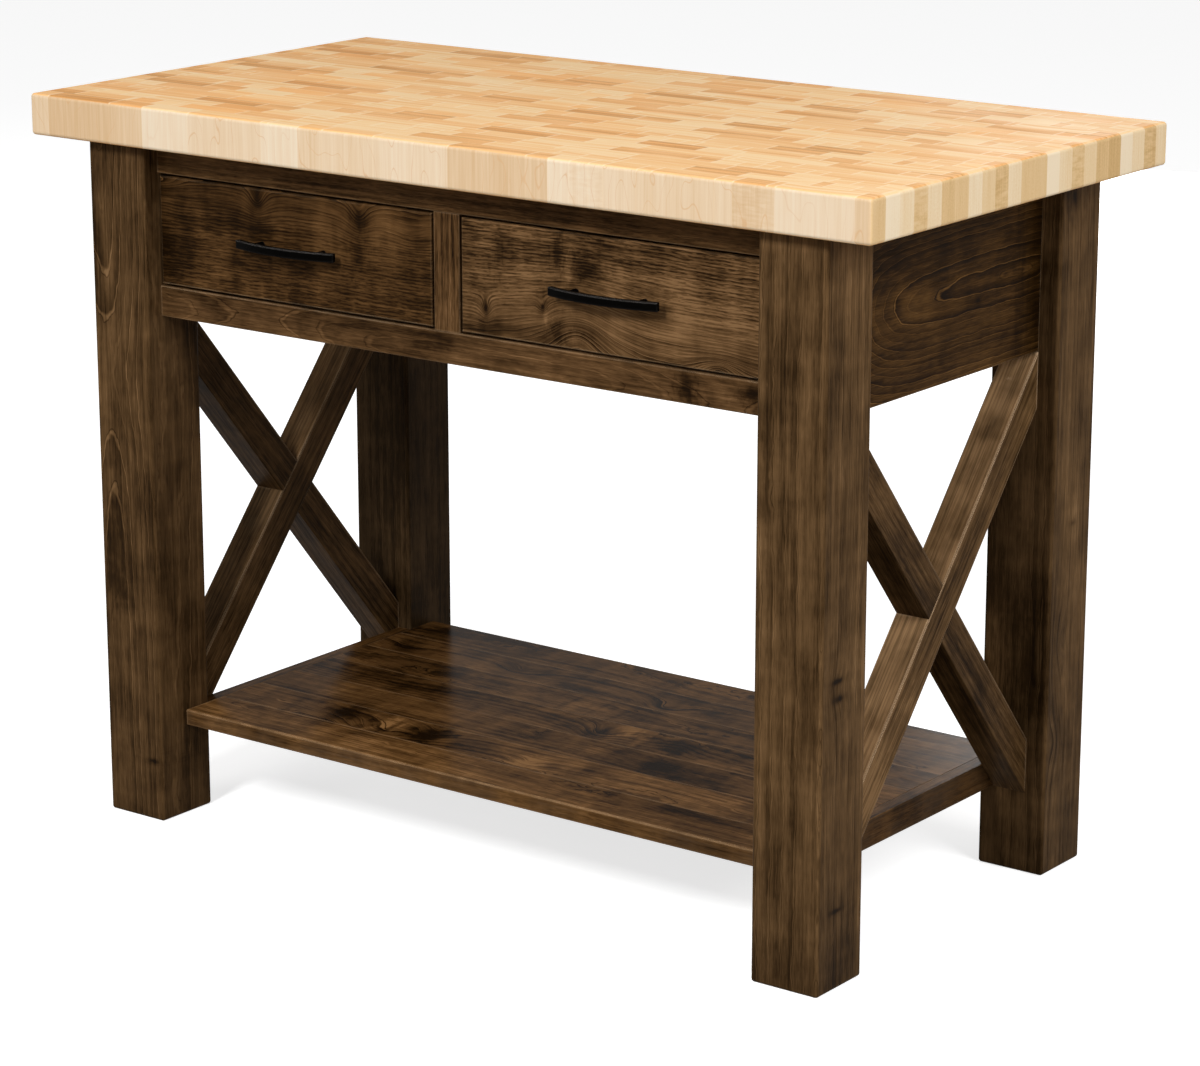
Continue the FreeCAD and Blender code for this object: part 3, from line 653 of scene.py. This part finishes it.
blockTop = {
    "rowWidth": 0.0276,
    "rowStart": -0.3175,
    "rowSeed": 61.3,
    "rowSlide": 0.12,
    "repeat": 6.0,
    "courseSeed": 33.1,
    "courseSlide": 91.0,
    "blockLength": 0.092,
    "cutFrom": 0.76,  # long blocks that draw more than this are cut into short ones
    "shortCount": 2.3,
    "shortSpread": 0.8,
    "shortShade": (0.82, 1.0, 1.0),
    "endGrain": [(0.0, (0.92, 0.650, 0.360)), (0.25, (0.89, 0.568, 0.276)), (0.5, (0.87, 0.505, 0.222)),
                 (0.78, (0.79, 0.418, 0.160)), (1.0, (0.62, 0.316, 0.110))],
    "endTone": (1.4, 0.96, 0.01),  # power, gain and start of each block's own tone
    "endShares": {"rowPick": 0.12, "stripe": 1.1, "hair": 0.3, "broad": 0.6, "pores": 0.25},
    "ringBow": 5.0,
    "ringWobble": 0.006,
    "ringSpread": 7.0,
    "ringLines": {"stripe": (120.0, 2.0), "hair": (1100.0, 0.0)},  # count in a metre, detail
    "warmTint": (1.05, 0.91, 0.72),
    "warmDrift": 0.8,
    "warmLeft": 0.3,
    "sideGrain": [(0.0, (0.81, 0.690, 0.53)), (0.3, (0.780, 0.615, 0.44)), (0.6, (0.730, 0.540, 0.350)),
                  (1.0, (0.64, 0.425, 0.235))],
    "sideShares": {"blockPick": 0.85, "fibre": 0.6, "band": 0.55},
    "sideCurl": (0.6, 0.9, 0.7),  # picks between which the curl comes in, and its share
    "contour": (9.0, 30.0),  # lines by the field, and in a metre
    "contourWidth": 0.036,
    "figureLine": (0.66, 0.385, 0.19),
    "figureShare": 0.6,
    "edgeStrips": [(0.0, (0.88, 0.725, 0.52)), (0.3, (0.81, 0.605, 0.362)), (0.7, (0.73, 0.500, 0.256)),
                   (1.0, (0.59, 0.375, 0.160))],
    "stripTone": (0.92, 0.07),
    "stripShares": {"rowPick": 0.34, "fibre": 0.4, "band": 0.3, "pores": 0.3},
    "stripCurl": (0.7, 0.95, 0.8),
    "warmStrip": (0.80, 0.500, 0.220),
    "warmShare": 0.45,
    "noise": {  # scale and detail
        "wobble": ((14.0, 60.0, 60.0), 2.0),
        "broad": ((9.0, 40.0, 20.0), 2.0),
        "pores": ((420.0, 420.0, 420.0), 1.0),
        "drift": ((4.0, 7.0, 4.0), 2.0),
        "curl": ((60.0, 60.0, 240.0), 2.0),
        "field": ((16.0, 16.0, 6.0), 2.0),
    },
    "uprightNoise": {"fibre": ((420.0, 420.0, 420.0), 2.0), "band": ((75.0, 75.0, 75.0), 2.0)},
    "uprightScale": 0.03,
    "seam": (0.95, 0.73, 0.47),
    "seamWidth": 0.0026,
    "rowSeam": 0.45,
    "seamShares": (0.16, 0.7),  # on the sides, on the flat
    # pale eased edges: partly wear, partly a painted highlight
    "wornAndGlint": (0.90, 0.72, 0.48),
    "wornAndGlintWidth": 0.003,
    "wornAndGlintBreakup": 0.2,
    "wearAndGlint": 0.4,
    "rough": (0.42, 0.54),
    "specular": 0.012,
    "bump": 0.1,
    "bumpDepth": 0.0004,
}


# glued-up block: rows across the depth, each row cut into blocks along the length
def makeBlockPattern():
    tree, given, result = newGroup("blockPattern", [
        ("Vector", "Vector", None), ("Row Width", "Float", 0.03), ("Row Start", "Float", 0.0),
        ("Block Length", "Float", 0.1), ("Repeat", "Float", 6.0), ("Seam Width", "Float", 0.001),
    ], {"Block": "Color", "Local X": "Float", "Local Y": "Float", "Row Pick": "Float", "Seam": "Float"})
    axis = make(tree, "SeparateXYZ", {0: given["Vector"]}).outputs
    rowAt = calc(tree, "DIVIDE", calc(tree, "SUBTRACT", axis[1], given["Row Start"]), given["Row Width"])
    row = calc(tree, "FLOOR", rowAt)
    inRow = calc(tree, "SUBTRACT", calc(tree, "FRACT", rowAt), 0.5)
    # the slab is glued up from like panels, so the rows come round again
    course = calc(tree, "FLOORED_MODULO", row, given["Repeat"])
    coursePick = scatter(tree, course, blockTop["courseSeed"])
    rowPick = scatter(tree, row, blockTop["rowSeed"])
    slide = calc(tree, "MULTIPLY", rowPick, blockTop["rowSlide"])
    slide = calc(tree, "MULTIPLY_ADD", coursePick, blockTop["courseSlide"], slide)
    blockAt = calc(tree, "ADD", calc(tree, "DIVIDE", axis[0], given["Block Length"]), slide)
    shortAt = calc(tree, "MULTIPLY", blockAt, blockTop["shortCount"])
    blocks, ends = [], []
    for where, spread in ((blockAt, 1.0), (shortAt, blockTop["shortSpread"])):
        feeds = {"W": where, "Scale": 1.0, "Randomness": spread}
        blocks.append(make(tree, "TexVoronoi", feeds, voronoi_dimensions="1D", feature="F1").outputs)
        end = make(tree, "TexVoronoi", feeds, voronoi_dimensions="1D", feature="DISTANCE_TO_EDGE")
        ends.append(end.outputs["Distance"])
    longBlock, shortBlock = blocks
    # some long blocks are cut into short ones
    cut = make(tree, "SeparateColor", {0: longBlock["Color"]}).outputs[2]
    cut = calc(tree, "GREATER_THAN", cut, blockTop["cutFrom"])
    shortColour = blendColour(tree, 1.0, shortBlock["Color"], blockTop["shortShade"], "MULTIPLY")
    blockColour = blendColour(tree, cut, longBlock["Color"], shortColour)
    shortEnd = calc(tree, "DIVIDE", ends[1], blockTop["shortCount"])
    blockEnd = calc(tree, "MINIMUM", ends[0], calc(tree, "ADD", shortEnd, calc(tree, "SUBTRACT", 1.0, cut)))
    localX = calc(tree, "SUBTRACT", blockAt, longBlock["W"])
    rowEdge = calc(tree, "SUBTRACT", 0.5, calc(tree, "ABSOLUTE", inRow))
    seams = []
    for edge, size in ((rowEdge, given["Row Width"]), (blockEnd, given["Block Length"])):
        seams.append(remap(tree, calc(tree, "MULTIPLY", edge, size), 0.0, given["Seam Width"], 1.0, 0.0))
    giveOut(tree, result, {
        "Block": blockColour,
        "Local X": calc(tree, "MULTIPLY", localX, given["Block Length"]),
        "Local Y": calc(tree, "MULTIPLY", inRow, given["Row Width"]),
        "Row Pick": rowPick,
        "Seam": calc(tree, "MAXIMUM", calc(tree, "MULTIPLY", seams[0], blockTop["rowSeam"]), seams[1]),
    })
    return tree


def curled(tree, tone, layer, pick, how):
    start, end, share = how
    curl = calc(tree, "SUBTRACT", layer["curl"], 0.5)
    curl = calc(tree, "MULTIPLY", curl, remap(tree, pick, start, end))
    return calc(tree, "MULTIPLY_ADD", curl, share, tone)


def dressTop():
    pattern = makeBlockPattern()
    material, tree, shader = newMaterial("oiled_maple_blocks")
    coords = make(tree, "TexCoord").outputs
    spot = coords["Object"]
    facing = make(tree, "SeparateXYZ", {0: coords["Normal"]}).outputs
    isFlat = remap(tree, calc(tree, "ABSOLUTE", facing[2]), 0.55, 0.75)
    isEnd = remap(tree, calc(tree, "ABSOLUTE", facing[0]), 0.55, 0.75)
    cells = place(tree, pattern, {
        "Vector": spot, "Row Width": blockTop["rowWidth"], "Row Start": blockTop["rowStart"],
        "Block Length": blockTop["blockLength"], "Repeat": blockTop["repeat"],
        "Seam Width": blockTop["seamWidth"]})
    pick = make(tree, "SeparateColor", {0: cells["Block"]}).outputs
    at = make(tree, "SeparateXYZ", {0: spot}).outputs
    low = calc(tree, "MULTIPLY", at[2], blockTop["uprightScale"])
    upright = make(tree, "CombineXYZ", {0: at[0], 1: at[1], 2: low}).outputs[0]
    layer = {"blockPick": pick[0], "rowPick": cells["Row Pick"]}
    layer.update(clouds(tree, spot, blockTop["noise"]))
    layer.update(clouds(tree, upright, blockTop["uprightNoise"]))
    # end grain: flat ring arcs that lie along each block
    bow = calc(tree, "MULTIPLY", calc(tree, "SUBTRACT", pick[1], 0.5), blockTop["ringBow"])
    arc = calc(tree, "MULTIPLY", cells["Local X"], cells["Local X"])
    arc = calc(tree, "MULTIPLY_ADD", arc, bow, cells["Local Y"])
    arc = mixIn(tree, arc, layer, {"wobble": blockTop["ringWobble"]})
    arc = weighted(tree, arc, [(pick[2], 0.0, blockTop["ringSpread"])])
    for key, (count, detail) in blockTop["ringLines"].items():
        feeds = {"W": calc(tree, "MULTIPLY", arc, count), "Scale": 1.0, "Detail": detail}
        layer[key] = make(tree, "TexNoise", feeds, noise_dimensions="1D").outputs[0]
    power, gain, start = blockTop["endTone"]
    tone = calc(tree, "MULTIPLY_ADD", calc(tree, "POWER", pick[0], power), gain, start)
    flat = ramp(tree, mixIn(tree, tone, layer, blockTop["endShares"]), blockTop["endGrain"])
    warm = remap(tree, layer["drift"], 0.42, 0.68, 0.0, blockTop["warmDrift"])
    warm = calc(tree, "ADD", warm, remap(tree, at[0], 0.1, -0.5, 0.0, blockTop["warmLeft"]))
    flat = blendColour(tree, calc(tree, "MULTIPLY", warm, pick[1]), flat, blockTop["warmTint"], "MULTIPLY")
    # side grain: upright fibres with thin contour lines on the long faces, plain strips on the ends
    byField, byLength = blockTop["contour"]
    contour = calc(tree, "MULTIPLY_ADD", layer["field"], byField, calc(tree, "MULTIPLY", at[0], byLength))
    contour = calc(tree, "SUBTRACT", calc(tree, "FRACT", contour), 0.5)
    line = remap(tree, calc(tree, "ABSOLUTE", contour), 0.0, blockTop["contourWidth"], 1.0, 0.0)
    line = calc(tree, "MULTIPLY", line, remap(tree, pick[1], -0.1, 0.25))
    tone = mixIn(tree, 0.5, layer, blockTop["sideShares"])
    side = ramp(tree, curled(tree, tone, layer, pick[2], blockTop["sideCurl"]), blockTop["sideGrain"])
    line = calc(tree, "MULTIPLY", line, blockTop["figureShare"])
    side = blendColour(tree, line, side, blockTop["figureLine"])
    gain, start = blockTop["stripTone"]
    tone = mixIn(tree, calc(tree, "MULTIPLY_ADD", pick[0], gain, start), layer, blockTop["stripShares"])
    strip = ramp(tree, curled(tree, tone, layer, pick[2], blockTop["stripCurl"]), blockTop["edgeStrips"])
    warm = remap(tree, pick[1], 0.7, 0.95, 0.0, blockTop["warmShare"])
    strip = blendColour(tree, warm, strip, blockTop["warmStrip"])
    colour = blendColour(tree, isEnd, side, strip)
    colour = blendColour(tree, isFlat, colour, flat)
    seam = remap(tree, isFlat, 0.0, 1.0, *blockTop["seamShares"], False)
    colour = blendColour(tree, calc(tree, "MULTIPLY", cells["Seam"], seam), colour, blockTop["seam"])
    wornAndGlint = place(tree, edgeWearAndGlint, {
        "Vector": spot, "Width": blockTop["wornAndGlintWidth"], "Breakup": blockTop["wornAndGlintBreakup"]})["Mask"]
    colour = blendColour(tree, calc(tree, "MULTIPLY", wornAndGlint, blockTop["wearAndGlint"]), colour, blockTop["wornAndGlint"])
    rough = remap(tree, layer["broad"], 0.3, 0.7, *blockTop["rough"], False)
    height = mixIn(tree, 0.5, layer, {"fibre": 0.5, "pores": 0.4})
    height = weighted(tree, height, [(cells["Seam"], 0.0, -0.6)])
    finishSurface(tree, shader, blockTop, colour, rough, height)
    dress("butcher_block_top", material)


dressTop()
print("block top dressed")


paleBox = {
    "ramp": [(0.0, (0.36, 0.225, 0.115)), (0.45, (0.60, 0.43, 0.26)), (1.0, (0.76, 0.60, 0.41))],
    "figure": {"Rings": 0.2, "Dashes": 0.1, "Shimmer": 0.25, "Blotches": 0.35, "Ring Spacing": 0.006,
               "Wander": 0.04},
    "rough": (0.55, 0.42),
    "specular": 0.1,
    "bump": 0.12,
    "bumpDepth": 0.0005,
    "boards": {"drawer_inner_side": "y", "drawer_outer_side": "y", "drawer_back": "x", "drawer_bottom": "x",
               "slide_bearer": "y", "top_cleat": "y"},  # grain of those on both sides
    "single": [("centre_slide_bearer", "y", 58.3), ("brace_dowels", "y", 59.1),
               ("shelf_dowels", "x", 60.4)],  # grain and seed
    "seeds": (46.0, 1.7, 0.8),  # first, for each board, for the right side
}


def paleBoard(name, grain, seed):
    material, tree, shader = newMaterial("pale_" + name)
    along = alongGrain(tree, name, make(tree, "TexCoord").outputs["Object"], grain)
    feeds = {"Vector": along, "Ring Vector": along, "Seed": seed, **paleBox["figure"]}
    figure = place(tree, boardGrain, feeds)
    colour = ramp(tree, figure["Tone"], paleBox["ramp"])
    rough = remap(tree, figure["Fibre"], 0.3, 0.7, *paleBox["rough"], False)
    finishSurface(tree, shader, paleBox, colour, rough, figure["Height"])
    dress(name, material)


firstSeed, boardStep, sideStep = paleBox["seeds"]
for order, (piece, grain) in enumerate(paleBox["boards"].items()):
    for offset, side in enumerate(("left", "right")):
        paleBoard(f"{side}_{piece}", grain, firstSeed + boardStep * order + sideStep * offset)
for piece, grain, seed in paleBox["single"]:
    paleBoard(piece, grain, seed)
print("drawer boxes dressed")


pullBlack = {
    "colour": (0.0011, 0.0009, 0.0007),
    "smear": (0.0022, 0.0018, 0.0014),
    "smearShare": 0.35,
    # painted glint: a pale line on the bar's upper front edge
    "wornAndGlint": (0.22, 0.20, 0.185),
    "rubbedAndGlint": {"Width": 0.0032, "Breakup": 0.15, "Facing": (0.0, -0.6, 0.8), "Elsewhere": 0.1},
    "wearAndGlint": 0.8,
    "noise": {"speck": ((900.0, 900.0, 900.0), 2.0), "smear": ((40.0, 60.0, 60.0), 3.0)},
    "rough": (0.22, 0.36),
    "specular": 0.008,
    "bump": 0.03,
    "bumpDepth": 0.0002,
}


def dressPulls():
    material, tree, shader = newMaterial("satin_black_pull")
    spot = make(tree, "TexCoord").outputs["Object"]
    layer = clouds(tree, spot, pullBlack["noise"])
    # painted glint along the upper front edge
    wornAndGlint = place(tree, edgeWearAndGlint, {"Vector": spot, **pullBlack["rubbedAndGlint"]})["Mask"]
    wornAndGlint = calc(tree, "MULTIPLY", wornAndGlint, pullBlack["wearAndGlint"])
    colour = blendColour(tree, wornAndGlint, pullBlack["colour"], pullBlack["wornAndGlint"])
    smear = remap(tree, layer["smear"], 0.4, 0.7, 0.0, pullBlack["smearShare"])
    colour = blendColour(tree, smear, colour, pullBlack["smear"])
    rough = remap(tree, layer["smear"], 0.3, 0.7, *pullBlack["rough"], False)
    finishSurface(tree, shader, pullBlack, colour, rough, layer["speck"])
    for side in ("left", "right"):
        dress(side + "_pull", material)


zinc = {
    "ramp": [(0.0, (0.42, 0.43, 0.44)), (1.0, (0.68, 0.69, 0.70))],
    "noise": {"drawn": ((600.0, 9.0, 600.0), 3.0), "bloom": ((30.0, 30.0, 30.0), 3.0)},
    "shares": {"drawn": 0.8, "bloom": 0.7},
    "rough": (0.26, 0.44),
    "bump": 0.1,
    "bumpDepth": 0.0002,
}


def dressSteel():
    material, tree, shader = newMaterial("zinc_steel")
    layer = clouds(tree, make(tree, "TexCoord").outputs["Object"], zinc["noise"])
    colour = ramp(tree, mixIn(tree, 0.5, layer, zinc["shares"]), zinc["ramp"])
    rough = remap(tree, layer["bloom"], 0.3, 0.7, *zinc["rough"], False)
    finishSurface(tree, shader, zinc, colour, rough, layer["drawn"])
    shader.inputs["Metallic"].default_value = 1.0
    for side in ("left", "right"):
        for part in ("cabinet", "middle", "drawer"):
            dress(f"{side}_slide_{part}_channels", material)
        dress(side + "_pull_screws", material)
    dress("top_screws", material)


dressPulls()
dressSteel()
print("metal dressed")


studio = {
    "camera": (2.7159, -3.6069, 1.6103),
    "yaw": 0.6416,
    "pitch": -0.2644,
    "focalPixels": 3810.5,
    "imageWidth": 1200.0,
    "sensorWidth": 36.0,
    "white": (1.0, 1.0, 1.0, 1.0),
    "ambient": 0.28,
    "floorSize": 60.0,
    "floorBounce": (0.32, 0.32, 0.32, 1.0),  # what the floor gives back to the part
    "floorSeen": (0.8, 0.8, 0.8, 1.0),  # what the camera and the gloss see, with the glow
    "floorGlow": 0.68,
    "lamps": [  # name, place, aim, size, power
        ("keyLamp", (0.2, -3.7, 3.0), (0.0, 0.0, 0.55), 0.8, 116.0),
        ("fillLamp", (-2.6, -3.4, 2.7), (0.0, 0.0, 0.5), 2.4, 30.0),
        ("sideLamp", (3.7, -0.6, 2.6), (0.0, 0.0, 0.55), 2.0, 100.0),
        ("backLamp", (-1.4, 4.8, 0.9), (0.0, 0.0, 0.5), 1.8, 90.0),
    ],
}


# one shader for rays that see the surface, another for the light it gives
def splitSeen(tree, given, seen, kind):
    path = make(tree, "LightPath").outputs
    sees = calc(tree, "MAXIMUM", path["Is Camera Ray"], path["Is Glossy Ray"])
    sees = calc(tree, "MAXIMUM", sees, path["Is Transmission Ray"])
    both = make(tree, "MixShader", {0: sees, 1: given.outputs[0], 2: seen.outputs[0]})
    end = make(tree, "Output" + kind)
    tree.links.new(both.outputs[0], end.inputs[0])


def buildWorld(scene):
    world = bpy.data.worlds.new("studioWorld")
    scene.world = world
    world.use_nodes = True
    tree = world.node_tree
    tree.nodes.clear()
    soft = make(tree, "Background", {"Color": studio["white"], "Strength": studio["ambient"]})
    white = make(tree, "Background", {"Color": studio["white"], "Strength": 1.0})
    splitSeen(tree, soft, white, "World")


def buildFloor():
    bpy.ops.mesh.primitive_plane_add(size=studio["floorSize"], location=(0.0, 0.0, 0.0))
    floor = bpy.context.object
    floor.name = "studioFloor"
    material = bpy.data.materials.new("paleFloor")
    material.use_nodes = True
    tree = material.node_tree
    tree.nodes.clear()
    plain = make(tree, "BsdfDiffuse", {"Color": studio["floorBounce"]})
    pale = make(tree, "BsdfDiffuse", {"Color": studio["floorSeen"]})
    glow = make(tree, "Emission", {"Color": studio["white"], "Strength": studio["floorGlow"]})
    lit = make(tree, "AddShader", {0: pale.outputs[0], 1: glow.outputs[0]})
    splitSeen(tree, plain, lit, "Material")
    floor.data.materials.append(material)


def addLamp(scene, name, spot, aim, size, power):
    data = bpy.data.lights.new(name, "AREA")
    data.size = size
    data.energy = power
    lamp = bpy.data.objects.new(name, data)
    scene.collection.objects.link(lamp)
    lamp.location = spot
    x, y, z = (a - s for a, s in zip(aim, spot))
    lamp.rotation_euler = (math.atan2(math.hypot(x, y), -z), 0.0, math.atan2(-x, y))


def addCamera(scene):
    data = bpy.data.cameras.new("photoCamera")
    data.sensor_width = studio["sensorWidth"]
    data.lens = studio["focalPixels"] * studio["sensorWidth"] / studio["imageWidth"]
    camera = bpy.data.objects.new("photoCamera", data)
    scene.collection.objects.link(camera)
    camera.location = studio["camera"]
    camera.rotation_euler = (math.pi / 2 + studio["pitch"], 0.0, studio["yaw"])
    scene.camera = camera


mainScene = bpy.context.scene
mainScene.view_settings.view_transform = "Standard"
buildWorld(mainScene)
buildFloor()
for lampRow in studio["lamps"]:
    addLamp(mainScene, *lampRow)
addCamera(mainScene)
print("studio set")
